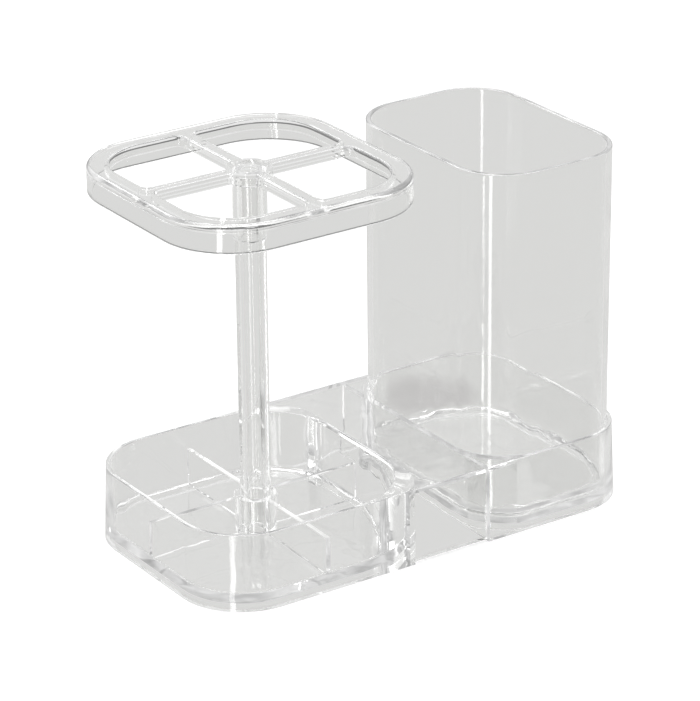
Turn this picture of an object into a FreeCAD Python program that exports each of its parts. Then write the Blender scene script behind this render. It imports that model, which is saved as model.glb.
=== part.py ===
import FreeCAD, Part
import math
import os
import Sketcher

# Countertop organiser moulded in clear plastic: a low base with a divided tray at one end, a
# raised ledge in the middle and a pocket at the other end. A tube stands in the tray and
# carries a ring of four holes for brush handles, and a rinse cup drops into the pocket.
#
# Part frame: origin under the middle of the whole object, on the surface it stands on.
# +X runs from the tray to the cup, -Y is the front, +Z is up. Millimetres.

DRIVING_SIZES = [
    # base moulding
    ("wall", "1.8", "outer walls, the rib and the wall between tray and ledge"),
    ("base_height", "30.5", "rim and ledge above the surface"),
    ("base_flare", "1.2", "how far the foot stands out beyond the rim, each side"),
    ("tray_length", "90.6", "inside of the tray along X"),
    ("tray_end_radius", "23.6", "inside corners at the free end of the tray"),
    ("tray_inner_radius", "31.0", "inside corners next to the ledge"),
    ("tray_shoulder_radius", "18.0", "the tray's corners seen from the hollow under the ledge"),
    ("tray_floor", "3.4", "thickness of the tray floor"),
    ("ledge_length", "28.8", "from the tray's inside to the pocket's inside"),
    ("ledge_skin", "2.2", "thickness of the ledge"),
    ("pocket_floor", "2.0", "thickness of the pocket floor"),
    ("foot_recess", "2.6", "floors above the surface, inside the foot rim"),
    ("ledge_gap", "1.3", "lower edge of the ledge's walls above the surface"),
    ("divider_height", "15.0", "cross dividers above the tray floor"),
    ("divider_wall", "1.8", "thickness of the cross dividers"),
    ("boss_wall", "2.5", "wall of the socket that holds the post"),
    ("boss_height", "14.5", "socket above the tray floor"),
    ("floor_fillet", "1.6", "rounding where the floors meet the walls, and of the cup's foot"),
    ("rim_fillet", "0.6", "rounding of the base's upper edges"),
    # post
    ("post_diameter", "11.8", "outside of the tube"),
    ("post_bore", "6.0", "inside of the tube"),
    ("post_length", "119.5", "tube from the tray floor to its shoulder"),
    ("spigot_diameter", "9.6", "reduced end that enters the ring's sleeve"),
    ("post_fit", "0.05", "air around the post in the socket and the sleeve"),
    # brush ring
    ("ring_length", "102.0", "ring along X"),
    ("ring_depth", "103.6", "ring along Y"),
    ("ring_radius", "28.7", "outside corners of the ring"),
    ("ring_height", "11.2", "height of the ring's skirt"),
    ("ring_band", "8.0", "from the outside to the brush holes"),
    ("bar_width", "5.2", "bars between the brush holes"),
    ("bar_height", "4.4", "depth of the bars and of the walls round the holes"),
    ("hole_outer_radius", "21.5", "outermost corner of each brush hole"),
    ("hole_radius", "3.0", "other corners of each brush hole"),
    ("ring_wall", "1.7", "skirt and the walls round the holes"),
    ("ring_skin", "2.2", "top of the ring over its hollow underside"),
    ("ring_edge", "1.8", "rounding of the ring's upper outer edge"),
    ("hole_edge", "0.8", "rounding of the upper edges of the holes"),
    ("groove_drop", "2.5", "from the ring's top to the groove round its skirt"),
    ("groove_height", "0.6", "height of that groove"),
    ("groove_depth", "0.5", "depth of that groove"),
    ("hub_diameter", "17.5", "disc in the middle of the bars"),
    ("hub_height", "5.0", "depth of that disc"),
    ("sleeve_diameter", "13.0", "sleeve under the hub"),
    ("sleeve_length", "27.0", "sleeve from its lower end to the ring's top"),
    ("sleeve_roof", "2.4", "plastic over the sleeve's bore"),
    ("sleeve_gap", "0.3", "air over the end of the post"),
    # rinse cup
    ("cup_length", "67.3", "foot of the cup along X"),
    ("cup_depth", "95.8", "foot of the cup along Y"),
    ("cup_height", "139.7", "cup from foot to rim"),
    ("cup_flare", "0.25", "how far the rim stands out beyond the foot, each side"),
    ("cup_radius", "21.5", "outside corners of the cup"),
    ("cup_wall", "1.9", "wall of the cup"),
    ("cup_floor", "2.6", "floor of the cup"),
    ("cup_fillet", "4.0", "rounding inside the cup's floor"),
    ("cup_rim_fillet", "0.7", "rounding of the cup's rim"),
    ("cup_clearance", "0.3", "air between the cup and its pocket"),
]

# Places and sizes that follow from the driving ones.
LAYOUT = [
    ("tray_start", "=Sizes.wall"),
    ("tray_end", "=tray_start + Sizes.tray_length"),
    ("tray_outside", "=tray_end + Sizes.wall"),
    ("tray_floor_top", "=Sizes.foot_recess + Sizes.tray_floor"),
    ("pocket_start", "=tray_end + Sizes.ledge_length"),
    ("pocket_outside", "=pocket_start - Sizes.wall"),
    ("pocket_end", "=pocket_start + Sizes.cup_length + 2 * Sizes.cup_clearance"),
    ("pocket_radius", "=Sizes.cup_radius + Sizes.cup_clearance"),
    ("pocket_floor_top", "=Sizes.foot_recess + Sizes.pocket_floor"),
    ("rim_length", "=pocket_end + Sizes.wall"),
    ("inside_back", "=Sizes.cup_depth / 2 + Sizes.cup_clearance"),
    ("rim_back", "=inside_back + Sizes.wall"),
    ("rim_end_radius", "=Sizes.tray_end_radius + Sizes.wall"),
    ("rim_cup_radius", "=pocket_radius + Sizes.wall"),
    ("foot_back", "=rim_back + Sizes.base_flare"),
    ("foot_length", "=rim_length + Sizes.base_flare"),
    ("ledge_bottom", "=Sizes.base_height - Sizes.ledge_skin"),
    ("ledge_middle", "=Sizes.base_height - Sizes.ledge_skin / 2"),
    ("hollow_start", "=tray_outside - 2 * Sizes.tray_shoulder_radius"),
    ("hollow_end", "=pocket_start + 2 * pocket_radius"),
    ("post_place", "=tray_start + Sizes.tray_length / 2"),
    ("socket_diameter", "=Sizes.post_diameter + 2 * Sizes.post_fit"),
    ("boss_diameter", "=socket_diameter + 2 * Sizes.boss_wall"),
    ("sleeve_bore", "=Sizes.spigot_diameter + 2 * Sizes.post_fit"),
    ("sleeve_bore_top", "=Sizes.sleeve_length - Sizes.sleeve_roof"),
    ("post_top", "=Sizes.post_length + sleeve_bore_top - Sizes.sleeve_gap"),
    ("ring_underside", "=Sizes.sleeve_length - Sizes.ring_height"),
    ("ring_foot", "=tray_floor_top + Sizes.post_length"),
    ("hole_start", "=Sizes.bar_width / 2"),
    ("hole_end_x", "=Sizes.ring_length / 2 - Sizes.ring_band"),
    ("hole_end_y", "=Sizes.ring_depth / 2 - Sizes.ring_band"),
    ("cup_rim_length", "=Sizes.cup_length + 2 * Sizes.cup_flare"),
    ("cup_middle", "=(pocket_start + pocket_end) / 2"),
    ("frame_start", "=min(-Sizes.base_flare; post_place - Sizes.ring_length / 2)"),
    ("frame_end", "=max(foot_length; cup_middle + cup_rim_length / 2)"),
    ("frame_middle", "=(frame_start + frame_end) / 2"),
]

# Edges this close to a height or a limit count as lying on it.
SLACK = 0.001

doc = FreeCAD.newDocument("brush_organiser")


def make_sheet(name, rows):
    """A spreadsheet with one aliased cell to a row, and its note beside it."""
    sheet = doc.addObject("Spreadsheet::Sheet", name)
    for number, row in enumerate(rows, start=1):
        sheet.set(f"A{number}", row[0])
        sheet.setAlias(f"B{number}", row[0])
        sheet.set(f"B{number}", row[1])
        if len(row) > 2:
            sheet.set(f"C{number}", row[2])
    return sheet


sizes = make_sheet("Sizes", DRIVING_SIZES)
layout = make_sheet("Layout", LAYOUT)
doc.recompute()


def value(expression):
    """The number that an expression on the two sheets gives now."""
    return float(sizes.evalExpression(expression))


def make_body(label, x="0", z="0"):
    """An empty body whose own origin lies at x (from the rim's tray end) and z."""
    body = doc.addObject("PartDesign::Body", label)
    body.Label = label
    body.setExpression("Placement.Base.x", f"{x} - Layout.frame_middle")
    body.setExpression("Placement.Base.z", z)
    return body


def make_sketch(body, name, height="0", plane="XY_Plane"):
    """A sketch on one of the body's own origin planes, raised by height."""
    sketch = body.newObject("Sketcher::SketchObject", name)
    origin_plane = next(item for item in body.Origin.OriginFeatures if item.Role == plane)
    sketch.AttachmentSupport = [(origin_plane, "")]
    sketch.MapMode = "FlatFace"
    sketch.setExpression("AttachmentOffset.Base.z", height)
    return sketch


def dimension(sketch, name, expression, *constraint):
    """Adds one dimensional constraint that follows an expression."""
    kind, *where = constraint
    index = sketch.addConstraint(Sketcher.Constraint(kind, *where, value(expression)))
    sketch.renameConstraint(index, name)
    sketch.setExpression(f"Constraints.{name}", expression)


def add_outline(sketch, tag, left, right, front, back, radii):
    """A rounded rectangle; radii are front-left, front-right, back-right, back-left."""
    x0, x1, y0, y1 = (value(side) for side in (left, right, front, back))
    corners = [(x0, y0, 1, 1), (x1, y0, -1, 1), (x1, y1, -1, -1), (x0, y1, 1, -1)]
    rounds = [value(radius) for radius in radii]
    first = sketch.GeometryCount
    for number, (x, y, sx, sy) in enumerate(corners):
        radius = rounds[number]
        centre = FreeCAD.Vector(x + sx * radius, y + sy * radius, 0)
        circle = Part.Circle(centre, FreeCAD.Vector(0, 0, 1), radius)
        start = math.pi / 2 * (number + 2)
        sketch.addGeometry(Part.ArcOfCircle(circle, start, start + math.pi / 2))
    for number in range(4):
        arc_end = sketch.Geometry[first + number].EndPoint
        next_start = sketch.Geometry[first + (number + 1) % 4].StartPoint
        sketch.addGeometry(Part.LineSegment(arc_end, next_start))
    for number in range(4):
        arc, line, following = first + number, first + 4 + number, first + (number + 1) % 4
        sketch.addConstraint(Sketcher.Constraint("Tangent", arc, 2, line, 1))
        sketch.addConstraint(Sketcher.Constraint("Tangent", line, 2, following, 1))
    dimension(sketch, f"{tag}_front", front, "DistanceY", -1, 1, first + 4, 1)
    dimension(sketch, f"{tag}_right", right, "DistanceX", -1, 1, first + 5, 1)
    dimension(sketch, f"{tag}_back", back, "DistanceY", -1, 1, first + 6, 1)
    dimension(sketch, f"{tag}_left", left, "DistanceX", -1, 1, first + 7, 1)
    for number, direction in enumerate(("Horizontal", "Vertical", "Horizontal", "Vertical")):
        sketch.addConstraint(Sketcher.Constraint(direction, first + 4 + number))
    for number, radius in enumerate(radii):
        dimension(sketch, f"{tag}_radius{number}", radius, "Radius", first + number)


def add_box(sketch, tag, left, right, front, back):
    """A plain rectangle."""
    x0, x1, y0, y1 = (value(side) for side in (left, right, front, back))
    points = [FreeCAD.Vector(x, y, 0) for x, y in ((x0, y0), (x1, y0), (x1, y1), (x0, y1))]
    first = sketch.GeometryCount
    for number in range(4):
        sketch.addGeometry(Part.LineSegment(points[number], points[(number + 1) % 4]))
    for number in range(4):
        following = first + (number + 1) % 4
        sketch.addConstraint(Sketcher.Constraint("Coincident", first + number, 2, following, 1))
    for number, direction in enumerate(("Horizontal", "Vertical", "Horizontal", "Vertical")):
        sketch.addConstraint(Sketcher.Constraint(direction, first + number))
    dimension(sketch, f"{tag}_front", front, "DistanceY", -1, 1, first, 1)
    dimension(sketch, f"{tag}_left", left, "DistanceX", -1, 1, first, 1)
    dimension(sketch, f"{tag}_right", right, "DistanceX", -1, 1, first + 2, 1)
    dimension(sketch, f"{tag}_back", back, "DistanceY", -1, 1, first + 2, 1)


def add_circle(sketch, tag, diameter, x="0"):
    """A circle whose centre is on the sketch's X axis."""
    centre = FreeCAD.Vector(value(x), 0, 0)
    circle = Part.Circle(centre, FreeCAD.Vector(0, 0, 1), value(diameter) / 2)
    index = sketch.addGeometry(circle)
    dimension(sketch, f"{tag}_place", x, "DistanceX", -1, 1, index, 3)
    sketch.addConstraint(Sketcher.Constraint("PointOnObject", index, 3, -1))
    dimension(sketch, f"{tag}_size", diameter, "Diameter", index)


def pad(body, name, sketch, length, taper=None):
    """Adds the sketch's area, upwards."""
    feature = body.newObject("PartDesign::Pad", name)
    feature.Profile = sketch
    feature.setExpression("Length", length)
    if taper:
        feature.setExpression("TaperAngle", taper)
    doc.recompute()
    return feature


def pocket(body, name, sketch, depth, upwards=False):
    """Cuts the sketch's area: down from the sketch, or upwards from it."""
    before = body.Shape.Volume
    feature = body.newObject("PartDesign::Pocket", name)
    feature.Profile = sketch
    feature.setExpression("Length", depth)
    feature.Reversed = upwards
    doc.recompute()
    if body.Shape.Volume >= before:
        raise RuntimeError(f"{name} cuts nothing")
    return feature


def fillet(body, name, radius, chosen):
    """Rounds the edges of the body's tip that the test picks."""
    tip = body.Tip
    edges = [f"Edge{n}" for n, edge in enumerate(tip.Shape.Edges, 1) if chosen(edge)]
    feature = body.newObject("PartDesign::Fillet", name)
    feature.Base = (tip, edges)
    feature.setExpression("Radius", radius)
    doc.recompute()
    return feature


def level_edge(height):
    """A test for edges that lie flat at one height."""
    level = value(height)
    return lambda edge: max(abs(edge.BoundBox.ZMin - level), abs(edge.BoundBox.ZMax - level)) < SLACK


def either(*tests):
    """A test that is met where any of the given ones is."""
    return lambda edge: any(test(edge) for test in tests)


# ---- base: tray, ledge and pocket in one moulding --------------------------------------------

BACK, FRONT = "Layout.rim_back", "-Layout.rim_back"
INSIDE_BACK, INSIDE_FRONT = "Layout.inside_back", "-Layout.inside_back"
TRAY_RADII = ["Sizes.tray_end_radius", "Sizes.tray_inner_radius"]
TRAY_RADII += ["Sizes.tray_inner_radius", "Sizes.tray_end_radius"]
TRAY_SIDES = ["Layout.tray_start", "Layout.tray_end", INSIDE_FRONT, INSIDE_BACK]
POCKET_RADII = ["Layout.pocket_radius"] * 4
POCKET_SIDES = ["Layout.pocket_start", "Layout.pocket_end", INSIDE_FRONT, INSIDE_BACK]


def add_shell(body):
    """The tapered outside, hollow under the ledge, with the tray and pocket tubs inside."""
    foot = make_sketch(body, "foot_outline")
    end_radius = "Layout.rim_end_radius + Sizes.base_flare"
    cup_radius = "Layout.rim_cup_radius + Sizes.base_flare"
    sides = ["-Sizes.base_flare", "Layout.foot_length", "-Layout.foot_back", "Layout.foot_back"]
    add_outline(foot, "foot", *sides, [end_radius, cup_radius, cup_radius, end_radius])
    slope = "-atan(Sizes.base_flare / Sizes.base_height)"
    pad(body, "outside", foot, "Sizes.base_height", slope)

    hollow = make_sketch(body, "ledge_hollow_outline")
    add_box(hollow, "hollow", "Layout.hollow_start", "Layout.hollow_end", INSIDE_FRONT, INSIDE_BACK)
    pocket(body, "ledge_hollow", hollow, "Layout.ledge_bottom", upwards=True)

    gap = make_sketch(body, "ledge_gap_outline")
    gap_start = "Layout.tray_outside - Sizes.tray_shoulder_radius / 2"
    add_box(gap, "gap", gap_start, "Layout.pocket_outside", "-Layout.foot_back", "Layout.foot_back")
    pocket(body, "ledge_gap", gap, "Sizes.ledge_gap", upwards=True)

    tray_tub = make_sketch(body, "tray_tub_outline")
    shoulder = "Sizes.tray_shoulder_radius"
    radii = ["Layout.rim_end_radius", shoulder, shoulder, "Layout.rim_end_radius"]
    add_outline(tray_tub, "tub", "0", "Layout.tray_outside", FRONT, BACK, radii)
    pad(body, "tray_tub", tray_tub, "Layout.ledge_middle")

    pocket_tub = make_sketch(body, "pocket_tub_outline")
    radii = ["Layout.rim_cup_radius"] * 4
    add_outline(pocket_tub, "tub", "Layout.pocket_outside", "Layout.rim_length", FRONT, BACK, radii)
    pad(body, "pocket_tub", pocket_tub, "Layout.ledge_middle")

    rib = make_sketch(body, "rib_outline")
    sides = ["Layout.pocket_outside", "Layout.pocket_start"]
    ends = ["-Layout.inside_back - Sizes.wall / 2", "Layout.inside_back + Sizes.wall / 2"]
    add_box(rib, "rib", *sides, *ends)
    pad(body, "rib", rib, "Layout.ledge_middle")


def cut_tray_and_pocket(body):
    """The open tray, the open pocket, and the shallow recess under each floor."""
    parts = [
        ("tray", TRAY_SIDES, TRAY_RADII, "Layout.tray_floor_top"),
        ("pocket", POCKET_SIDES, POCKET_RADII, "Layout.pocket_floor_top"),
    ]
    for name, sides, radii, floor_top in parts:
        inside = make_sketch(body, f"{name}_outline", "Sizes.base_height")
        add_outline(inside, name, *sides, radii)
        pocket(body, name, inside, f"Sizes.base_height - {floor_top}")
        recess = make_sketch(body, f"{name}_recess_outline")
        add_outline(recess, name, *sides, radii)
        pocket(body, f"{name}_recess", recess, "Sizes.foot_recess", upwards=True)
    floors = either(level_edge("Layout.tray_floor_top"), level_edge("Layout.pocket_floor_top"))
    fillet(body, "floor_edges", "Sizes.floor_fillet", floors)


def add_dividers(body):
    """Two walls that cross under the post, and the socket that the post stands in."""
    inside_floor = "Layout.tray_floor_top - Sizes.tray_floor / 2"
    half = "Sizes.divider_wall / 2"
    height = "Sizes.divider_height + Sizes.tray_floor / 2"
    across = make_sketch(body, "cross_divider_outline", inside_floor)
    sides = [f"Layout.post_place - {half}", f"Layout.post_place + {half}"]
    ends = ["-Layout.inside_back - Sizes.wall / 2", "Layout.inside_back + Sizes.wall / 2"]
    add_box(across, "divider", *sides, *ends)
    pad(body, "cross_divider", across, height)

    along = make_sketch(body, "long_divider_outline", inside_floor)
    sides = ["Layout.tray_start - Sizes.wall / 2", "Layout.tray_end + Sizes.wall / 2"]
    add_box(along, "divider", *sides, f"-{half}", half)
    pad(body, "long_divider", along, height)

    boss = make_sketch(body, "boss_outline", inside_floor)
    add_circle(boss, "boss", "Layout.boss_diameter", "Layout.post_place")
    pad(body, "boss", boss, "Sizes.boss_height + Sizes.tray_floor / 2")

    socket = make_sketch(body, "socket_outline", "Sizes.base_height")
    add_circle(socket, "socket", "Layout.socket_diameter", "Layout.post_place")
    pocket(body, "socket", socket, "Sizes.base_height - Layout.tray_floor_top")


def make_base():
    """The base moulding."""
    body = make_body("base_tray")
    add_shell(body)
    cut_tray_and_pocket(body)
    fillet(body, "rim_edges", "Sizes.rim_fillet", level_edge("Sizes.base_height"))
    add_dividers(body)
    return body


# ---- post: a tube with a reduced end ----------------------------------------------------------


def make_post():
    """The tube that stands in the tray's socket and enters the ring's sleeve."""
    body = make_body("stand_post", "Layout.post_place", "Layout.tray_floor_top")
    tube = make_sketch(body, "tube_outline")
    add_circle(tube, "outside", "Sizes.post_diameter")
    add_circle(tube, "bore", "Sizes.post_bore")
    pad(body, "tube", tube, "Sizes.post_length")
    spigot = make_sketch(body, "spigot_outline", "Sizes.post_length")
    add_circle(spigot, "outside", "Sizes.spigot_diameter")
    add_circle(spigot, "bore", "Sizes.post_bore")
    pad(body, "spigot", spigot, "Layout.post_top - Sizes.post_length")
    return body


# ---- brush ring --------------------------------------------------------------------------------


def quadrants():
    """The signs of X and Y in the four quarters of the ring."""
    return [(sx, sy) for sx in ("", "-") for sy in ("", "-")]


def add_hole_outlines(sketch, wall="0"):
    """One rounded outline to a brush hole, larger all round by wall."""
    for number, (sx, sy) in enumerate(quadrants()):
        x_limits = [f"{sx}(Layout.hole_start - {wall})", f"{sx}(Layout.hole_end_x + {wall})"]
        y_limits = [f"{sy}(Layout.hole_start - {wall})", f"{sy}(Layout.hole_end_y + {wall})"]
        x_limits.sort(key=value)
        y_limits.sort(key=value)
        outer_corner = (0 if sy else 3) if sx else (1 if sy else 2)
        radii = [f"Sizes.hole_radius + {wall}"] * 4
        radii[outer_corner] = f"Sizes.hole_outer_radius + {wall}"
        add_outline(sketch, f"hole{number}", *x_limits, *y_limits, radii)


def round_a_hole(edge):
    """True for an edge of a brush hole: it lies inside the ring's band."""
    box = edge.BoundBox
    far_x, far_y = max(-box.XMin, box.XMax), max(-box.YMin, box.YMax)
    return far_x < value("Layout.hole_end_x") + SLACK and far_y < value("Layout.hole_end_y") + SLACK


def make_ring():
    """The ring with four brush holes, hollow underneath, and the sleeve for the post."""
    body = make_body("brush_ring", "Layout.post_place", "Layout.ring_foot")
    half_x, half_y = "Sizes.ring_length / 2", "Sizes.ring_depth / 2"
    outline = make_sketch(body, "ring_outline", "Layout.ring_underside")
    add_outline(outline, "ring", f"-{half_x}", half_x, f"-{half_y}", half_y, ["Sizes.ring_radius"] * 4)
    pad(body, "ring", outline, "Sizes.ring_height")

    holes = make_sketch(body, "hole_outlines", "Sizes.sleeve_length")
    add_hole_outlines(holes)
    pocket(body, "holes", holes, "Sizes.ring_height")

    inner_x, inner_y = f"({half_x} - Sizes.ring_wall)", f"({half_y} - Sizes.ring_wall)"
    inside = ["skirt", f"-{inner_x}", inner_x, f"-{inner_y}", inner_y]
    inside.append(["Sizes.ring_radius - Sizes.ring_wall"] * 4)
    below_bars = make_sketch(body, "space_below_bars", "Layout.ring_underside")
    add_outline(below_bars, *inside)
    pocket(body, "below_bars", below_bars, "Sizes.ring_height - Sizes.bar_height", upwards=True)
    hollow = make_sketch(body, "hollow_outlines", "Layout.ring_underside")
    add_outline(hollow, *inside)
    add_hole_outlines(hollow, "Sizes.ring_wall")
    pocket(body, "hollow", hollow, "Sizes.ring_height - Sizes.ring_skin", upwards=True)

    top = level_edge("Sizes.sleeve_length")
    fillet(body, "outer_edge", "Sizes.ring_edge", lambda edge: top(edge) and not round_a_hole(edge))
    fillet(body, "hole_edges", "Sizes.hole_edge", lambda edge: top(edge) and round_a_hole(edge))

    groove = make_sketch(body, "groove_outlines", "Sizes.sleeve_length - Sizes.groove_drop")
    for name, step in (("clear", "Sizes.groove_depth"), ("groove", "-Sizes.groove_depth")):
        sides = [f"-({half_x} + {step})", f"{half_x} + {step}", f"-({half_y} + {step})", f"{half_y} + {step}"]
        add_outline(groove, name, *sides, [f"Sizes.ring_radius + {step}"] * 4)
    pocket(body, "groove", groove, "Sizes.groove_height")

    hub = make_sketch(body, "hub_outline", "Sizes.sleeve_length - Sizes.hub_height")
    add_circle(hub, "hub", "Sizes.hub_diameter")
    pad(body, "hub", hub, "Sizes.hub_height")
    sleeve = make_sketch(body, "sleeve_outline")
    add_circle(sleeve, "sleeve", "Sizes.sleeve_diameter")
    pad(body, "sleeve", sleeve, "Layout.sleeve_bore_top")
    bore = make_sketch(body, "bore_outline")
    add_circle(bore, "bore", "Layout.sleeve_bore")
    pocket(body, "bore", bore, "Layout.sleeve_bore_top", upwards=True)
    return body


# ---- rinse cup ---------------------------------------------------------------------------------


def make_cup():
    """The straight-sided cup that lifts out of the pocket."""
    body = make_body("rinse_cup", "Layout.cup_middle", "Layout.pocket_floor_top")
    half_x, half_y = "Sizes.cup_length / 2", "Sizes.cup_depth / 2"
    outline = make_sketch(body, "cup_outline")
    add_outline(outline, "cup", f"-{half_x}", half_x, f"-{half_y}", half_y, ["Sizes.cup_radius"] * 4)
    pad(body, "cup", outline, "Sizes.cup_height", "atan(Sizes.cup_flare / Sizes.cup_height)")
    inside = make_sketch(body, "inside_outline", "Sizes.cup_height")
    inner_x, inner_y = f"({half_x} - Sizes.cup_wall)", f"({half_y} - Sizes.cup_wall)"
    inner_radius = "Sizes.cup_radius - Sizes.cup_wall"
    add_outline(inside, "inside", f"-{inner_x}", inner_x, f"-{inner_y}", inner_y, [inner_radius] * 4)
    pocket(body, "inside", inside, "Sizes.cup_height - Sizes.cup_floor")
    fillet(body, "floor_edge", "Sizes.cup_fillet", level_edge("Sizes.cup_floor"))
    fillet(body, "foot_edge", "Sizes.floor_fillet", level_edge("0"))
    fillet(body, "rim_edges", "Sizes.cup_rim_fillet", level_edge("Sizes.cup_height"))
    return body


bodies = [make_base(), make_post(), make_ring(), make_cup()]
doc.recompute()

for item in doc.Objects:
    if {"Invalid", "Error"} & set(item.State):
        raise RuntimeError(f"{item.Label} failed: {item.State}")

os.makedirs("parts", exist_ok=True)
for body in bodies:
    shape = body.Shape
    if shape.isNull() or not shape.isValid() or len(shape.Solids) != 1:
        raise RuntimeError(f"{body.Label} is not one valid solid")
    shape.exportStep(f"parts/{body.Label}.step")
    box = shape.BoundBox
    print(body.Label, round(shape.Volume), [round(v, 2) for v in (box.XMin, box.XMax, box.YMin, box.YMax)],
          [round(v, 2) for v in (box.ZMin, box.ZMax)])
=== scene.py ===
"""Clear plastic brush organiser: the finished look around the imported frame.

The base and the ring are the frame's own mouldings, dressed. The cup and the post are swept
shells: one profile carried round a rounded rectangle by a Geometry Nodes tree.
"""
import logging
import math
from dataclasses import dataclass
from enum import Enum

import bmesh
import bpy
from mathutils import Matrix, Vector, noise


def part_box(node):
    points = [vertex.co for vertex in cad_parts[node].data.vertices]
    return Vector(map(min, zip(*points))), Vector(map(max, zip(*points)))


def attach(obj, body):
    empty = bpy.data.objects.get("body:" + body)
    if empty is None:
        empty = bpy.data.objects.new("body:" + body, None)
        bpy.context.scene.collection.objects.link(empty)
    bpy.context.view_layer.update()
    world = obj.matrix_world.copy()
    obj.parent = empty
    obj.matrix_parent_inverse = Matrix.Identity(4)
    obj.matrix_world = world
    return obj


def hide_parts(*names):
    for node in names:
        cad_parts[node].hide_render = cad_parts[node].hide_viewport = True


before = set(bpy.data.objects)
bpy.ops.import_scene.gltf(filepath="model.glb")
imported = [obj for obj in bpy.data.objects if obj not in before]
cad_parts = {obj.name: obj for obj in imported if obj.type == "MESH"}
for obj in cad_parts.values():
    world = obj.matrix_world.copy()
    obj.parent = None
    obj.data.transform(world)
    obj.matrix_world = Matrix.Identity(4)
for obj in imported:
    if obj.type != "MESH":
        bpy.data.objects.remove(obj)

LOG = logging.getLogger("organiser")
MM = 0.001
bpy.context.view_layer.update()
WHITE = (1.0, 1.0, 1.0, 1.0)
Profile = list[tuple[float, float]]
Box = tuple[Vector, Vector]


class Body(Enum):
    """The bodies of the frame that pieces ride on."""

    STAND = "stand"
    CUP = "cup"


def feed(tree: bpy.types.NodeTree, node: bpy.types.Node, inputs: dict[object, object]) -> None:
    """Feeds a node's inputs.

    Args:
        tree: The tree that the node is in.
        node: The node.
        inputs: By name or number of the input, the socket to link to it or the value to set.
    """
    for key, value in inputs.items():
        if isinstance(value, bpy.types.NodeSocket):
            tree.links.new(value, node.inputs[key])
        else:
            node.inputs[key].default_value = value


def add_node(tree: bpy.types.NodeTree, kind: str,
             inputs: dict[object, object] | None = None) -> bpy.types.Node:
    """Adds a node.

    Args:
        tree: The tree that it goes in.
        kind: Its type.
        inputs: What feeds its inputs, as in feed().

    Returns:
        The new node.
    """
    node = tree.nodes.new(kind)
    feed(tree, node, inputs or {})
    return node


def maths(tree: bpy.types.NodeTree, operation: str, *terms: object) -> bpy.types.NodeSocket:
    """Adds a math node.

    Args:
        tree: The tree that it goes in.
        operation: What it does.
        terms: The sockets or numbers of its inputs.

    Returns:
        Its output socket.
    """
    node = add_node(tree, "ShaderNodeMath")
    node.operation = operation
    feed(tree, node, dict(enumerate(terms)))
    return node.outputs["Value"]


def vector_maths(tree: bpy.types.NodeTree, operation: str, *terms: object) -> bpy.types.NodeSocket:
    """Adds a vector math node.

    Args:
        tree: The tree that it goes in.
        operation: What it does.
        terms: The sockets or vectors of its inputs.

    Returns:
        Its output socket.
    """
    node = add_node(tree, "ShaderNodeVectorMath")
    node.operation = operation
    feed(tree, node, dict(enumerate(terms)))
    return node.outputs["Value" if operation in ("DOT_PRODUCT", "DISTANCE") else "Vector"]


def carry(tree: bpy.types.NodeTree, value: bpy.types.NodeSocket, taken: tuple[float, float],
          given: tuple[float, float], kind: str = "LINEAR") -> bpy.types.NodeSocket:
    """Carries a number from one range to another, held at its ends.

    Args:
        tree: The tree that the node goes in.
        value: The socket of the number.
        taken: The two ends of its range.
        given: What they become.
        kind: How the node goes from one end to the other.

    Returns:
        The socket of the new number.
    """
    node = add_node(tree, "ShaderNodeMapRange")
    node.interpolation_type = kind
    feed(tree, node, {
        "Value": value,
        "From Min": taken[0],
        "From Max": taken[1],
        "To Min": given[0],
        "To Max": given[1],
    })
    return node.outputs["Result"]


def blend(tree: bpy.types.NodeTree, share: bpy.types.NodeSocket, first: object,
          second: object) -> bpy.types.NodeSocket:
    """Mixes two colours.

    Args:
        tree: The tree that the node goes in.
        share: The socket of the second colour's share.
        first: The first colour or its socket.
        second: The second one.

    Returns:
        The socket of the mixed colour.
    """
    colour_1, colour_2, mixed = 6, 7, 2
    node = add_node(tree, "ShaderNodeMix")
    node.data_type = "RGBA"
    feed(tree, node, {"Factor": share, colour_1: first, colour_2: second})
    return node.outputs[mixed]


def own_noise(tree: bpy.types.NodeTree, size: float, detail: float) -> bpy.types.NodeSocket:
    """Adds noise that stays with the object.

    Args:
        tree: The material's nodes.
        size: Size of its waves in metres.
        detail: How many finer waves it has.

    Returns:
        The socket of the noise, from 0 to 1.
    """
    place = add_node(tree, "ShaderNodeTexCoord").outputs["Object"]
    inputs = {"Vector": place, "Scale": 1.0 / size, "Detail": detail}
    return add_node(tree, "ShaderNodeTexNoise", inputs).outputs["Fac"]


def bare_material(name: str) -> bpy.types.Material:
    """Makes a node material that has no shader yet.

    Args:
        name: Its name.

    Returns:
        The new material.
    """
    made = bpy.data.materials.new(name)
    made.use_nodes = True
    made.node_tree.nodes.remove(made.node_tree.nodes["Principled BSDF"])
    return made


def add_object(name: str, mesh: bpy.types.Mesh) -> bpy.types.Object:
    """Adds an object to the scene.

    Args:
        name: Its name.
        mesh: Its mesh.

    Returns:
        The new object.
    """
    made = bpy.data.objects.new(name, mesh)
    bpy.context.scene.collection.objects.link(made)
    return made


def flat_object(name: str, corners: list[tuple[float, float, float]],
                material: bpy.types.Material) -> bpy.types.Object:
    """Makes an object of one flat face.

    Args:
        name: Its name.
        corners: Its corners in order, in metres.
        material: Its material.

    Returns:
        The new object.
    """
    mesh = bpy.data.meshes.new(name)
    mesh.from_pydata(corners, [], [tuple(range(len(corners)))])
    mesh.materials.append(material)
    return add_object(name, mesh)


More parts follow.
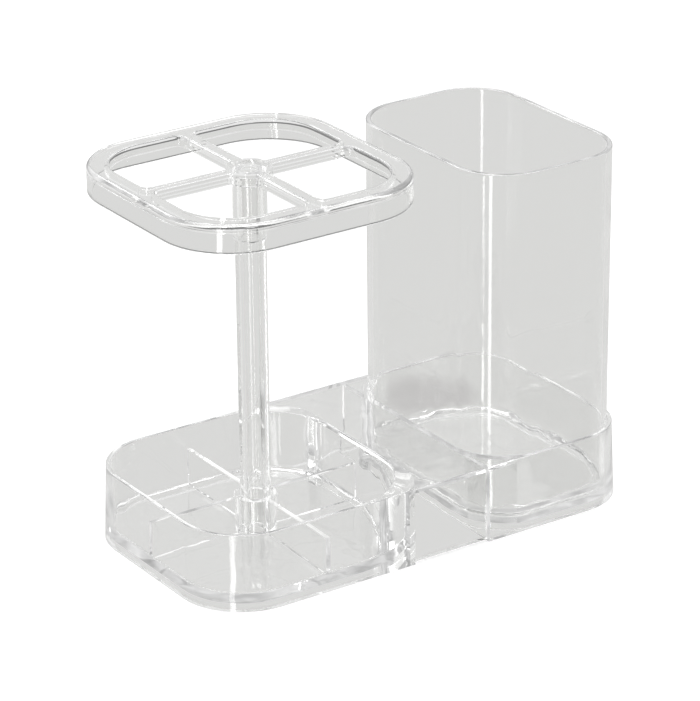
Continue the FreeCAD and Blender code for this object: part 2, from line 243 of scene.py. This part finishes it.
@dataclass(frozen=True)
class ClearPlastic:
    """A clear, colourless, polished moulding.

    Attributes:
        name: Name of the material.
        colour: Colour that one wall gives to the light that crosses it.
        ior: Index of refraction.
        roughness: Roughness of the polished surface.
        haze: How much rougher the faint wiping marks are.
        wave_length: Length in metres of the gentle waves in the moulded surface.
        wave_depth: Depth in metres of those waves.
        wave_detail: How many finer waves they carry.
        marks_per_wave: How many wiping marks there are to a wave.
        mark_detail: How fine the marks' edges are.
        mark_range: Levels of the noise where a mark begins and where it is full.
        trapped_light: Level of a glow painted into the surface, in place of the light left inside a
            wall after many reflections.
        trapped_after: How many reflections light makes before it counts as trapped.
        trapped_spread: Least and most of the trapped light, as shares of its level.
        glint_size: Size in metres of the painted glints in that glow.
        glint_detail: How fine the glints' edges are.
        glint_range: Levels of the noise that give the least and the most.
    """

    name: str
    colour: tuple[float, float, float] = (0.992, 0.993, 0.990)
    ior: float = 1.49
    roughness: float = 0.015
    haze: float = 0.03
    wave_length: float = 0.024
    wave_depth: float = 0.00007
    wave_detail: float = 1.0
    marks_per_wave: float = 4.0
    mark_detail: float = 6.0
    mark_range: tuple[float, float] = (0.45, 0.75)
    trapped_light: float = 0.21
    trapped_after: float = 2.5
    trapped_spread: tuple[float, float] = (0.55, 1.45)
    glint_size: float = 0.011
    glint_detail: float = 2.0
    glint_range: tuple[float, float] = (0.35, 0.65)

    def material(self) -> bpy.types.Material:
        """Builds the node material.

        Returns:
            The new material.
        """
        made = bpy.data.materials.new(self.name)
        made.use_nodes = True
        made.cycles.emission_sampling = "NONE"
        tree = made.node_tree
        waves = own_noise(tree, self.wave_length, self.wave_detail)
        bump = add_node(tree, "ShaderNodeBump", {"Distance": self.wave_depth, "Height": waves})
        marks = own_noise(tree, self.wave_length / self.marks_per_wave, self.mark_detail)
        polish = (self.roughness, self.roughness + self.haze)
        feed(tree, tree.nodes["Principled BSDF"], {
            "Base Color": (*self.colour, 1.0),
            "IOR": self.ior,
            "Transmission Weight": 1.0,
            "Normal": bump.outputs["Normal"],
            "Roughness": carry(tree, marks, self.mark_range, polish),
            # Painted glow: emission after several reflections stands in for light trapped in the
            # wall.
            "Emission Color": WHITE,
            "Emission Strength": self.painted_trapped_glow(tree),
        })
        return made

    def painted_trapped_glow(self, tree: bpy.types.NodeTree) -> bpy.types.NodeSocket:
        """Paints a glow into the surface, in place of the light that a render would lose inside a
        wall.

        Args:
            tree: The material's nodes.

        Returns:
            The socket of that light's strength.
        """
        path = add_node(tree, "ShaderNodeLightPath")
        trapped = maths(tree, "GREATER_THAN", path.outputs["Glossy Depth"], self.trapped_after)
        glints = own_noise(tree, self.glint_size, self.glint_detail)
        least, most = (self.trapped_light * share for share in self.trapped_spread)
        return maths(tree, "MULTIPLY", trapped, carry(tree, glints, self.glint_range, (least, most)))


class SweepTree:
    """The Geometry Nodes tree that carries a profile round a rounded rectangle.

    The host's own mesh is the profile, whose X runs out from the outline and whose Y runs down.
    """

    NAME = "sweep_round_outline"
    CORNER_POINTS = 96

    def __init__(self) -> None:
        """Builds the tree."""
        self.tree = bpy.data.node_groups.new(self.NAME, "GeometryNodeTree")
        self.sockets: dict[str, str] = {}
        face = self.tree.interface
        face.new_socket("Geometry", in_out="OUTPUT", socket_type="NodeSocketGeometry")
        face.new_socket("Geometry", in_out="INPUT", socket_type="NodeSocketGeometry")
        for name in ("Length", "Depth", "Corner Radius", "Step"):
            socket = face.new_socket(name, in_out="INPUT", socket_type="NodeSocketFloat")
            self.sockets[name] = socket.identifier
        socket = face.new_socket("Material", in_out="INPUT", socket_type="NodeSocketMaterial")
        self.sockets["Material"] = socket.identifier
        self.link()

    def link(self) -> None:
        """Adds and joins the nodes; the outline's corners are drawn finely before it is stepped."""
        nodes, links = self.tree.nodes, self.tree.links
        given = nodes.new("NodeGroupInput")
        result = nodes.new("NodeGroupOutput")
        outline = nodes.new("GeometryNodeCurvePrimitiveQuadrilateral")
        corner = nodes.new("GeometryNodeFilletCurve")
        step = nodes.new("GeometryNodeResampleCurve")
        profile = nodes.new("GeometryNodeMeshToCurve")
        sweep = nodes.new("GeometryNodeCurveToMesh")
        smooth = nodes.new("GeometryNodeSetShadeSmooth")
        real = nodes.new("GeometryNodeRealizeInstances")
        paint = nodes.new("GeometryNodeSetMaterial")
        corner.mode = "POLY"
        corner.inputs["Count"].default_value = self.CORNER_POINTS
        step.mode = "LENGTH"
        links.new(given.outputs["Length"], outline.inputs["Width"])
        links.new(given.outputs["Depth"], outline.inputs["Height"])
        links.new(outline.outputs["Curve"], corner.inputs["Curve"])
        links.new(given.outputs["Corner Radius"], corner.inputs["Radius"])
        links.new(corner.outputs["Curve"], step.inputs["Curve"])
        links.new(given.outputs["Step"], step.inputs["Length"])
        links.new(step.outputs["Curve"], sweep.inputs["Curve"])
        links.new(given.outputs["Geometry"], profile.inputs["Mesh"])
        links.new(profile.outputs["Curve"], sweep.inputs["Profile Curve"])
        links.new(sweep.outputs["Mesh"], smooth.inputs["Geometry"])
        links.new(smooth.outputs["Geometry"], real.inputs["Geometry"])
        links.new(real.outputs["Geometry"], paint.inputs["Geometry"])
        links.new(given.outputs["Material"], paint.inputs["Material"])
        links.new(paint.outputs["Geometry"], result.inputs["Geometry"])

    def sweep(self, name: str, profile: Profile, closed: bool,
              values: dict[str, object]) -> bpy.types.Object:
        """Sweeps a profile and returns it as a plain mesh.

        Args:
            name: Name of the piece.
            profile: Points of the profile, in metres: inwards from the outline, and up.
            closed: True where the profile is a closed loop.
            values: The tree's inputs by name.

        Returns:
            The piece, standing round the origin.
        """
        mesh = bpy.data.meshes.new(f"{name}_profile")
        edges = [(i, i + 1) for i in range(len(profile) - 1)]
        if closed:
            edges.append((len(profile) - 1, 0))
        mesh.from_pydata([(-inwards, -up, 0.0) for inwards, up in profile], edges, [])
        host = add_object(f"{name}_host", mesh)
        modifier = host.modifiers.new("sweep", "NODES")
        modifier.node_group = self.tree
        for key, value in values.items():
            modifier[self.sockets[key]] = value
        depsgraph = bpy.context.evaluated_depsgraph_get()
        made = bpy.data.meshes.new_from_object(host.evaluated_get(depsgraph))
        host.modifiers.remove(modifier)
        bpy.data.objects.remove(host)
        made.name = name
        return add_object(name, made)


def rounded(corners: list[tuple[float, float, float]], closed: bool, steps: int = 8) -> Profile:
    """Rounds the corners of a profile.

    A long side gets a point of its own near each rounded end, so that the shading stays flat
    between them.

    Args:
        corners: The corners as (x, y, radius), in millimetres.
        closed: True where the last corner joins the first.
        steps: Pieces of each rounded corner.

    Returns:
        The profile's points, in metres.
    """
    # In lengths of a rounded end: the shortest side that gets such a point, and where it sits.
    long_side, lead = 1.6, 1.25
    made: Profile = []
    count = len(corners)
    for i, (x, y, radius) in enumerate(corners):
        here = Vector((x, y))
        if radius <= 0 or (not closed and i in (0, count - 1)):
            made.append((x * MM, y * MM))
            continue
        before = Vector(corners[i - 1][:2]) - here
        after = Vector(corners[(i + 1) % count][:2]) - here
        half = before.angle(after) / 2
        reach = radius / math.tan(half)
        bisector = (before.normalized() + after.normalized()).normalized()
        middle = here + bisector * (radius / math.sin(half))
        start = here + before.normalized() * reach - middle
        end = here + after.normalized() * reach - middle
        if before.length > reach * long_side:
            point = here + before.normalized() * reach * lead
            made.append((point.x * MM, point.y * MM))
        turn = math.atan2(start.x * end.y - start.y * end.x, start.dot(end))
        for k in range(steps + 1):
            arm = Matrix.Rotation(turn * k / steps, 2) @ start
            made.append(((middle.x + arm.x) * MM, (middle.y + arm.y) * MM))
        if after.length > reach * long_side:
            point = here + after.normalized() * reach * lead
            made.append((point.x * MM, point.y * MM))
    return made


def close_and_place(piece: bpy.types.Object, box: Box, lift: float) -> None:
    """Closes a swept shell's floors, turns its faces outwards and stands it in its place.

    Args:
        piece: The swept shell.
        box: The lowest and highest corner of the node that it stands for, in metres.
        lift: How far it stands above the bottom of that box, in millimetres.
    """
    same_point = 1e-7
    low, high = box
    work = bmesh.new()
    work.from_mesh(piece.data)
    bmesh.ops.remove_doubles(work, verts=work.verts, dist=same_point)
    rims = [edge for edge in work.edges if len(edge.link_faces) == 1]
    if rims:
        bmesh.ops.holes_fill(work, edges=rims, sides=0)
    bmesh.ops.recalc_face_normals(work, faces=work.faces)
    middle = [(low[i] + high[i]) / 2 for i in (0, 1)]
    bmesh.ops.translate(work, verts=work.verts, vec=Vector((*middle, low[2] + lift * MM)))
    for face in work.faces:
        face.smooth = True
    work.to_mesh(piece.data)
    work.free()


@dataclass
class RinseCup:
    """The straight-sided cup. Sizes are in millimetres.

    Attributes:
        tree: The tree that sweeps it.
        finish: Its plastic.
        flare: How much farther out its rim is than its foot.
        radius: Radius of its corners at the foot.
        wall: Thickness of its wall.
        floor: Thickness of its floor.
        inner_fillet: Radius between its floor and its wall.
        floor_margin: Width of the floor's outermost strip, inside that radius.
        foot_fillet: Radius of its foot's outer edge.
        rim_fillet: Radius of the rim's two edges.
        foot_rim: Width of the rim that it stands on.
        foot_slope: Width of the step up to the recess under its floor.
        foot_edge: Radius of that step's edges.
        foot_recess: Height of that recess.
        lift: Clearance under it.
        edge_wave: Length of the slow waves in the inner fillet.
        edge_depth: Depth of those waves.
        step: Distance between the sweep's stations.
    """

    tree: SweepTree
    finish: ClearPlastic
    flare: float = 0.25
    radius: float = 21.5
    wall: float = 1.9
    floor: float = 2.6
    inner_fillet: float = 2.4
    floor_margin: float = 1.5
    foot_fillet: float = 1.6
    rim_fillet: float = 0.7
    foot_rim: float = 5.0
    foot_slope: float = 0.4
    foot_edge: float = 0.3
    foot_recess: float = 0.5
    lift: float = 0.06
    edge_wave: float = 9.0
    edge_depth: float = 1.0
    step: float = 1.2

    def profile(self, height: float) -> Profile:
        """The cup's section, from under its floor round the wall to the floor's top.

        Args:
            height: Height of the cup in millimetres.

        Returns:
            The profile's points.
        """
        inside = self.flare + self.wall
        flat = inside + self.inner_fillet + self.floor_margin
        recess = self.flare + self.foot_rim
        corners = [
            (flat, self.foot_recess, 0.0),
            (recess, self.foot_recess, self.foot_edge),
            (recess - self.foot_slope, 0.0, self.foot_edge),
            (self.flare, 0.0, self.foot_fillet),
            (0.0, height, self.rim_fillet),
            (inside, height, self.rim_fillet),
            (inside, self.floor, self.inner_fillet),
            (flat, self.floor, 0.0),
        ]
        return rounded(corners, closed=False)

    def build(self) -> None:
        """Builds the cup in the place of the frame's node."""
        low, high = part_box("rinse_cup")
        values = {
            "Length": high[0] - low[0],
            "Depth": high[1] - low[1],
            "Corner Radius": (self.radius + self.flare) * MM,
            "Step": self.step * MM,
            "Material": self.finish.material(),
        }
        height = (high[2] - low[2]) / MM - self.lift
        profile = self.profile(height)
        piece = self.tree.sweep("clear_rinse_cup", profile, False, values)
        self.draw_floor_edge(piece.data, profile)
        close_and_place(piece, (low, high), self.lift)
        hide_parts("rinse_cup")
        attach(piece, Body.CUP.value)
        LOG.info("%s: %d faces", piece.name, len(piece.data.polygons))

    def draw_floor_edge(self, mesh: bpy.types.Mesh, profile: Profile) -> None:
        """Gives the inner floor fillet the slow waves that the moulding draws in it.

        Args:
            mesh: The swept shell; its points follow the profile, station after station.
            profile: The profile that was swept.
        """
        near = 1e-6
        inside = (self.flare + self.wall) * MM
        bottom, top = self.floor * MM, (self.floor + self.inner_fillet) * MM
        upwards = Vector((0.0, 0.0, 1.0))
        for index, vert in enumerate(mesh.vertices):
            inwards, up = profile[index % len(profile)]
            if inwards < inside - near or not bottom < up < top:
                continue
            level = Vector((vert.co.x, vert.co.y, 0.0))
            wave = noise.noise(level / (self.edge_wave * MM))
            share = math.sin(math.pi * (up - bottom) / (top - bottom))
            depth = wave * share * self.edge_depth * MM
            vert.co += (upwards - level.normalized()) * depth


@dataclass
class StandPost:
    """The tube that carries the ring. Sizes are in millimetres.

    Attributes:
        tree: The tree that sweeps it.
        finish: Its plastic.
        bore: Diameter of its bore.
        spigot: Diameter of the spigot that enters the ring.
        shoulder: Height of the shoulder that the ring sits on.
        edge: Radius of its edges.
        neck: Radius between the shoulder and the spigot.
        lift: Clearance under it.
        step: Distance between the sweep's stations.
    """

    tree: SweepTree
    finish: ClearPlastic
    bore: float = 6.0
    spigot: float = 9.6
    shoulder: float = 119.45
    edge: float = 0.35
    neck: float = 0.1
    lift: float = 0.05
    step: float = 0.5

    def build(self) -> None:
        """Builds the post in the place of the frame's node."""
        low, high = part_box("stand_post")
        across = (high[0] - low[0]) / MM
        height = (high[2] - low[2]) / MM - self.lift
        bore, spigot = (across - self.bore) / 2, (across - self.spigot) / 2
        corners = [
            (0.0, 0.0, self.edge),
            (0.0, self.shoulder, self.edge),
            (spigot, self.shoulder, self.neck),
            (spigot, height, self.edge),
            (bore, height, self.edge),
            (bore, 0.0, self.edge),
        ]
        values = {
            "Length": across * MM,
            "Depth": across * MM,
            "Corner Radius": across / 2 * MM,
            "Step": self.step * MM,
            "Material": self.finish.material(),
        }
        piece = self.tree.sweep("clear_stand_post", rounded(corners, closed=True), True, values)
        close_and_place(piece, (low, high), self.lift)
        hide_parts("stand_post")
        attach(piece, Body.STAND.value)
        LOG.info("%s: %d faces", piece.name, len(piece.data.polygons))


@dataclass
class EasedMoulding:
    """A moulding of the frame's own shape, polished smooth, with the arris of its foot eased.

    Attributes:
        node: The frame's node that it stands for.
        name: Name of the piece.
        finish: Its plastic.
        foot: Height in metres of the edge to ease.
        ease: Radius in millimetres of the eased edge.
        steps: Facets of the eased edge.
        arc: Shape of the eased edge; 0.5 is a part of a circle.
        crease: Edges sharper than this, in degrees, stay sharp.
        arris: Edges at the foot sharper than this, in degrees, are eased.
        flat: Faces that turn less than this, in degrees, are joined.
        same_point: Points nearer than this, in metres, become one.
        same_height: How near the foot's height, in metres, an edge of the foot has to be.
        flat_share: How much large faces count, in percent, where a flat meets a rounding.
    """

    node: str
    name: str
    finish: ClearPlastic
    foot: float
    ease: float
    steps: int = 4
    arc: float = 0.5
    crease: float = 32.0
    arris: float = 60.0
    flat: float = 0.2
    same_point: float = 2e-6
    same_height: float = 2e-5
    flat_share: int = 100

    def build(self) -> None:
        """Builds the moulding in the place of the frame's node."""
        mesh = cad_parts[self.node].data.copy()
        mesh.name = self.name
        old_normals = mesh.attributes.get("custom_normal")
        if old_normals is not None:
            mesh.attributes.remove(old_normals)
        work = bmesh.new()
        work.from_mesh(mesh)
        bmesh.ops.remove_doubles(work, verts=work.verts, dist=self.same_point)
        bmesh.ops.dissolve_degenerate(work, edges=work.edges, dist=self.same_point)
        self.join_flats(work)
        self.ease_foot(work)
        loose = [edge for edge in work.edges if len(edge.link_faces) != 2]
        for face in work.faces:
            face.smooth = True
        work.to_mesh(mesh)
        work.free()
        mesh.set_sharp_from_angle(angle=math.radians(self.crease))
        mesh.materials.clear()
        mesh.materials.append(self.finish.material())
        piece = add_object(self.name, mesh)
        self.even_normals(piece)
        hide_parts(self.node)
        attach(piece, Body.STAND.value)
        LOG.info("%s: %d faces, %d open edges", self.name, len(mesh.polygons), len(loose))

    def even_normals(self, piece: bpy.types.Object) -> None:
        """Keeps the flats flat where a rounded edge runs into them.

        Args:
            piece: The piece whose mesh is replaced.
        """
        even = piece.modifiers.new("even_normals", "WEIGHTED_NORMAL")
        even.keep_sharp = True
        even.weight = self.flat_share
        depsgraph = bpy.context.evaluated_depsgraph_get()
        made = bpy.data.meshes.new_from_object(piece.evaluated_get(depsgraph))
        piece.modifiers.remove(even)
        piece.data = made
        made.name = piece.name

    def join_flats(self, work: bmesh.types.BMesh) -> None:
        """Joins the triangles of each flat face.

        Args:
            work: The mesh being made.
        """
        bmesh.ops.dissolve_limit(
            work,
            angle_limit=math.radians(self.flat),
            verts=work.verts,
            edges=work.edges,
            delimit={"NORMAL"},
        )

    def ease_foot(self, work: bmesh.types.BMesh) -> None:
        """Rounds the outer edge of the foot.

        Args:
            work: The mesh being made.
        """
        work.normal_update()
        picked = []
        for edge in work.edges:
            if len(edge.link_faces) != 2 or not edge.is_convex:
                continue
            if any(abs(vert.co.z - self.foot) > self.same_height for vert in edge.verts):
                continue
            if edge.calc_face_angle() > math.radians(self.arris):
                picked.append(edge)
        bmesh.ops.bevel(
            work,
            geom=picked,
            offset=self.ease * MM,
            offset_type="OFFSET",
            segments=self.steps,
            profile=self.arc,
            affect="EDGES",
            clamp_overlap=True,
        )
        LOG.info("%s: %d edges eased", self.name, len(picked))


@dataclass(frozen=True)
class Panel:
    """One light or dark panel of the studio, as a patch of the world's directions.

    Attributes:
        level: Brightness of the panel; 1 is white.
        azimuth: Middle of the panel in degrees, from +Y towards +X.
        half_width: Half its width in degrees.
        lowest: Its lower edge in degrees above the horizon.
        highest: Its upper edge.
        softness: Width in degrees of its soft edge.
    """

    level: float
    azimuth: float
    half_width: float
    lowest: float
    highest: float
    softness: float


STUDIO_PANELS = (
    Panel(level=0.85, azimuth=0.0, half_width=181.0, lowest=4.0, highest=91.0, softness=10.0),
    Panel(level=0.15, azimuth=34.0, half_width=181.0, lowest=-10.0, highest=10.0, softness=4.0),
    Panel(level=0.30, azimuth=34.0, half_width=181.0, lowest=73.0, highest=91.0, softness=5.0),
    Panel(level=0.16, azimuth=214.0, half_width=58.0, lowest=0.0, highest=44.0, softness=8.0),
    Panel(level=0.25, azimuth=124.0, half_width=22.0, lowest=0.0, highest=34.0, softness=8.0),
    Panel(level=0.25, azimuth=-56.0, half_width=22.0, lowest=0.0, highest=34.0, softness=8.0),
    Panel(level=4.50, azimuth=34.0, half_width=181.0, lowest=54.0, highest=69.0, softness=3.0),
    Panel(level=1.20, azimuth=120.0, half_width=40.0, lowest=54.0, highest=69.0, softness=6.0),
    Panel(level=4.50, azimuth=-4.0, half_width=20.0, lowest=33.0, highest=43.0, softness=3.0),
)


@dataclass(frozen=True)
class Studio:
    """Pale table and soft studio light. Sizes are in metres.

    Attributes:
        table_half: Half the side of the table top.
        table_height: Height of the table top, a little under the object.
        table_paint: Colour of its paint.
        table_roughness: Roughness of its paint.
        table_glow: Light that it gives off, so that it looks white with a faint shadow.
        seen_through: Level of the backdrop as clear plastic shows it.
        panels: The panels round the object, each over the ones before it.
        shade_middle: Middle of the cup's painted shadow on the table.
        shade_radius: Radius of the shade.
        shade_core: Share of that radius in which it is darkest.
        shade_height: Height of the shade.
        shade_tone: Light that the shade leaves.
        shade_facets: Corners of its disc.
        lamp_azimuth: Direction of the tall lamp in degrees, from +Y towards +X.
        lamp_from: Place on the cup's front corner that the lamp is measured from.
        lamp_distance: Distance of the lamp from there.
        lamp_half_width: Half the lamp's width.
        lamp_core: Share of that width in which it is brightest.
        lamp_heights: Heights of its two ends.
        lamp_level: Brightness of its middle.
    """

    table_half: float = 4.0
    table_height: float = -0.0002
    table_paint: tuple[float, float, float] = (0.30, 0.30, 0.30)
    table_roughness: float = 0.9
    table_glow: float = 0.8
    seen_through: tuple[float, float, float] = (0.698, 0.698, 0.690)
    panels: tuple[Panel, ...] = STUDIO_PANELS
    shade_middle: tuple[float, float] = (0.084, 0.076)
    shade_radius: float = 0.027
    shade_core: float = 0.35
    shade_height: float = -0.0001
    shade_tone: tuple[float, float, float] = (0.79, 0.775, 0.785)
    shade_facets: int = 48
    lamp_azimuth: float = 241.4
    lamp_from: tuple[float, float] = (0.033, -0.040)
    lamp_distance: float = 0.4
    lamp_half_width: float = 0.0293
    lamp_core: float = 0.5
    lamp_heights: tuple[float, float] = (-0.34, 0.28)
    lamp_level: float = 5.0

    def build(self) -> None:
        """Makes the table, the cup's painted shadow on it, the tall lamp and the world."""
        self.make_table()
        self.lay_painted_shadow()
        self.make_lamp()
        self.make_world()

    def make_lamp(self) -> None:
        """Stands the tall narrow lamp whose reflection runs down the cup's front corner."""
        turn = math.radians(self.lamp_azimuth)
        away = Vector((math.sin(turn), math.cos(turn), 0.0))
        side = Vector((away.y, -away.x, 0.0))
        foot = Vector((*self.lamp_from, 0.0)) + away * self.lamp_distance
        half = side * self.lamp_half_width
        low, high = (Vector((0.0, 0.0, height)) for height in self.lamp_heights)
        corners = [foot - half + low, foot + half + low, foot + half + high, foot - half + high]
        made = bare_material("lamp_glow")
        tree = made.node_tree
        place = add_node(tree, "ShaderNodeTexCoord").outputs["Object"]
        offset = vector_maths(tree, "SUBTRACT", place, foot)
        reach = maths(tree, "ABSOLUTE", vector_maths(tree, "DOT_PRODUCT", offset, side))
        fade = (self.lamp_half_width * self.lamp_core, self.lamp_half_width)
        level = carry(tree, reach, fade, (self.lamp_level, 0.0), "SMOOTHSTEP")
        glow = add_node(tree, "ShaderNodeEmission", {"Strength": level})
        clear = add_node(tree, "ShaderNodeBsdfTransparent")
        both = add_node(tree, "ShaderNodeAddShader", {
            0: glow.outputs["Emission"],
            1: clear.outputs["BSDF"],
        })
        feed(tree, tree.nodes["Material Output"], {"Surface": both.outputs["Shader"]})
        lamp = flat_object("tall_lamp", corners, made)
        lamp.visible_camera = False
        lamp.visible_diffuse = False
        lamp.visible_shadow = False

    def lay_painted_shadow(self) -> None:
        """Lays a painted shadow of the cup on the table behind it: a tinted see-through disc that
        only the plastic shows.
        """
        middle = Vector(self.shade_middle)
        corners = []
        for k in range(self.shade_facets):
            turn = k * math.tau / self.shade_facets
            spot = middle + Vector((math.cos(turn), math.sin(turn))) * self.shade_radius
            corners.append((spot.x, spot.y, self.shade_height))
        made = bare_material("painted_shadow_veil")
        tree = made.node_tree
        place = add_node(tree, "ShaderNodeTexCoord").outputs["Object"]
        reach = vector_maths(tree, "DISTANCE", place, (*self.shade_middle, self.shade_height))
        fade = (self.shade_radius * self.shade_core, self.shade_radius)
        share = carry(tree, reach, fade, (0.0, 1.0), "SMOOTHSTEP")
        # Painted shadow: the disc darkens what is seen through it, most in its middle.
        tone = blend(tree, share, (*self.shade_tone, 1.0), WHITE)
        veil = add_node(tree, "ShaderNodeBsdfTransparent", {"Color": tone})
        feed(tree, tree.nodes["Material Output"], {"Surface": veil.outputs["BSDF"]})
        shade = flat_object("painted_table_shadow", corners, made)
        shade.visible_camera = False
        shade.visible_diffuse = False
        shade.visible_glossy = False
        shade.visible_shadow = False

    def make_table(self) -> None:
        """Makes the table top, which the camera sees as white with a faint shadow."""
        half, height = self.table_half, self.table_height
        corners = [
            (-half, -half, height),
            (half, -half, height),
            (half, half, height),
            (-half, half, height),
        ]
        made = bpy.data.materials.new("table_paint")
        made.use_nodes = True
        feed(made.node_tree, made.node_tree.nodes["Principled BSDF"], {
            "Base Color": (*self.table_paint, 1.0),
            "Roughness": self.table_roughness,
            "Emission Color": WHITE,
            "Emission Strength": self.table_glow,
        })
        table = flat_object("table_top", corners, made)
        table.visible_transmission = False
        table.visible_glossy = False

    def make_world(self) -> None:
        """Makes the light that comes from all round; the camera itself sees it as white."""
        world = bpy.data.worlds.new("studio")
        bpy.context.scene.world = world
        world.use_nodes = True
        tree = world.node_tree
        place = add_node(tree, "ShaderNodeTexCoord").outputs["Generated"]
        split = add_node(tree, "ShaderNodeSeparateXYZ", {"Vector": place})
        height = maths(tree, "ARCSINE", split.outputs["Z"])
        level = vector_maths(tree, "MULTIPLY", place, (1.0, 1.0, 0.0))
        heading = vector_maths(tree, "NORMALIZE", level)
        backdrop = add_node(tree, "ShaderNodeRGB")
        backdrop.outputs["Color"].default_value = (*self.seen_through, 1.0)
        light = backdrop.outputs["Color"]
        for panel in self.panels:
            light = self.add_panel(tree, panel, heading, height, light)
        soft = tree.nodes["Background"]
        feed(tree, soft, {"Color": light})
        white = add_node(tree, "ShaderNodeBackground", {"Color": WHITE})
        path = add_node(tree, "ShaderNodeLightPath")
        seen = add_node(tree, "ShaderNodeMixShader", {
            "Fac": path.outputs["Is Camera Ray"],
            1: soft.outputs["Background"],
            2: white.outputs["Background"],
        })
        feed(tree, tree.nodes["World Output"], {"Surface": seen.outputs["Shader"]})

    @staticmethod
    def soft_edge(tree: bpy.types.NodeTree, angle: bpy.types.NodeSocket, edge: float,
                  softness: float) -> bpy.types.NodeSocket:
        """Fades from 1 below an angle to 0 above it.

        Args:
            tree: The tree that the nodes go in.
            angle: The socket that gives the angle in radians.
            edge: The angle of the edge in degrees.
            softness: Width of the fade in degrees.

        Returns:
            The socket of the fade.
        """
        fade = (math.radians(edge - softness / 2), math.radians(edge + softness / 2))
        return carry(tree, angle, fade, (1.0, 0.0), "SMOOTHSTEP")

    def add_panel(self, tree: bpy.types.NodeTree, panel: Panel, heading: bpy.types.NodeSocket,
                  height: bpy.types.NodeSocket, light: bpy.types.NodeSocket) -> bpy.types.NodeSocket:
        """Lays one panel over the light made so far.

        Args:
            tree: The world's nodes.
            panel: The panel.
            heading: The socket of the level direction.
            height: The socket of the angle above the horizon.
            light: The socket of the light made so far.

        Returns:
            The socket of the light with the panel.
        """
        turn = math.radians(panel.azimuth)
        towards = vector_maths(tree, "DOT_PRODUCT", heading, (math.sin(turn), math.cos(turn), 0.0))
        sideways = maths(tree, "ARCCOSINE", towards)
        middle = (panel.lowest + panel.highest) / 2
        upright = maths(tree, "SUBTRACT", height, math.radians(middle))
        upright = maths(tree, "ABSOLUTE", upright)
        across = self.soft_edge(tree, sideways, panel.half_width, panel.softness)
        along = self.soft_edge(tree, upright, panel.highest - middle, panel.softness)
        inside = maths(tree, "MULTIPLY", across, along)
        return blend(tree, inside, light, (panel.level, panel.level, panel.level, 1.0))


@dataclass(frozen=True)
class Viewpoint:
    """Where the camera stands: angles in degrees, distances in metres.

    Attributes:
        azimuth: Angle round the object; 0 looks along +Y.
        elevation: Angle above the table.
        roll: Turn of the frame about the line of sight.
        distance: From the camera to the target.
        target: Point in the middle of the frame.
        lens: Focal length in millimetres.
        frame_height: Height in millimetres of the frame behind the lens.
        sight: Farthest distance that it sees.
    """

    azimuth: float = -33.95
    elevation: float = 23.05
    roll: float = -0.52
    distance: float = 1.396
    target: tuple[float, float, float] = (-0.0020, 0.0019, 0.0675)
    lens: float = 187.94
    frame_height: float = 36.0
    sight: float = 50.0

    def build(self) -> None:
        """Makes the camera and sets it as the scene's."""
        turn, lift, roll = (math.radians(a) for a in (self.azimuth, self.elevation, self.roll))
        level = math.cos(lift)
        back = Vector((math.sin(turn) * level, -math.cos(turn) * level, math.sin(lift)))
        side = (-back).cross(Vector((0.0, 0.0, 1.0))).normalized()
        head = side.cross(-back)
        right = side * math.cos(roll) + head * math.sin(roll)
        up = head * math.cos(roll) - side * math.sin(roll)
        data = bpy.data.cameras.new("view")
        data.sensor_fit = "VERTICAL"
        data.sensor_height = self.frame_height
        data.lens = self.lens
        data.clip_end = self.sight
        camera = bpy.data.objects.new("view", data)
        bpy.context.scene.collection.objects.link(camera)
        basis = Matrix((right, up, back)).transposed().to_4x4()
        camera.matrix_world = Matrix.Translation(Vector(self.target) + back * self.distance) @ basis
        bpy.context.scene.camera = camera


def main() -> None:
    """Builds the organiser, its studio and the camera."""
    logging.basicConfig(level=logging.INFO, format="%(name)s: %(message)s")
    bpy.context.scene.view_settings.view_transform = "Standard"
    Viewpoint().build()
    base_finish = ClearPlastic("base_plastic", wave_length=0.016, wave_depth=0.00050)
    EasedMoulding("base_tray", "clear_base_tray", base_finish, foot=0.0, ease=0.8).build()
    ring_finish = ClearPlastic("ring_plastic", wave_length=0.012, wave_depth=0.00010)
    EasedMoulding("brush_ring", "clear_brush_ring", ring_finish, foot=0.1413, ease=0.85).build()
    tree = SweepTree()
    StandPost(tree, ClearPlastic("post_plastic")).build()
    RinseCup(tree, ClearPlastic("cup_plastic")).build()
    Studio().build()


if __name__ == "__main__":
    main()
